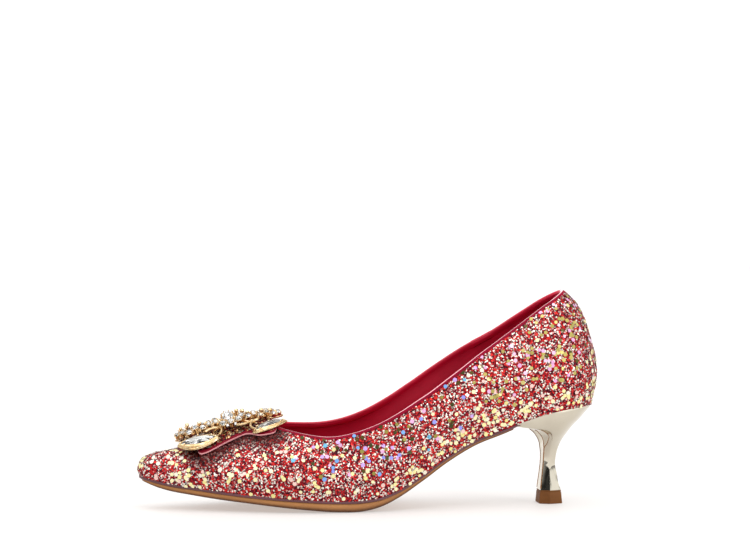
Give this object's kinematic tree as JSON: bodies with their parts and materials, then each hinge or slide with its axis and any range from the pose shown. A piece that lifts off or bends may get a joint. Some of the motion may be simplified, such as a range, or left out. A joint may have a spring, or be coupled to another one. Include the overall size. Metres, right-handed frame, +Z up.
{
  "type": "shoe",
  "caption": "Pointed glitter pump for the left foot with a flared kitten heel, bound topline and a crystal bow brooch on the vamp.",
  "frame": {"origin": "on the floor under the ball of the foot, in the middle of the forefoot's flat spot", "axes": "+X from the toe to the heel, +Y to the shoe's inner (medial) side, +Z up"},
  "size_m": [0.2497, 0.0776, 0.1164],
  "materials": {
    "glitter_fabric": "fine red and white glitter with larger yellow, pink, lilac, blue and dark flakes",
    "red_leather": "smooth crimson synthetic leather with a soft sheen",
    "red_lining": "smooth matt crimson lining leather",
    "mauve_edge": "dark plum edge paint",
    "tan_sole": "satin tan sole with a smooth burnished edge",
    "gold_plating": "mirror plated pale champagne gold",
    "brown_rubber": "satin brown rubber",
    "gold_brooch": "polished warm gold plating",
    "crystal": "clear faceted crystal"
  },
  "bodies": {
    "root": {"upper": "glitter_fabric", "topline_binding": "red_leather", "insole": "red_lining", "rand": "mauve_edge", "outsole": "tan_sole", "heel": "gold_plating", "top_piece": "brown_rubber", "bow_pad": "glitter_fabric", "brooch_frame": "gold_brooch", "crystal_front_lateral": "crystal", "crystal_rear_lateral": "crystal", "crystal_front_medial": "crystal", "crystal_rear_medial": "crystal", "crystal_centre": "crystal"}
  },
  "joints": []
}
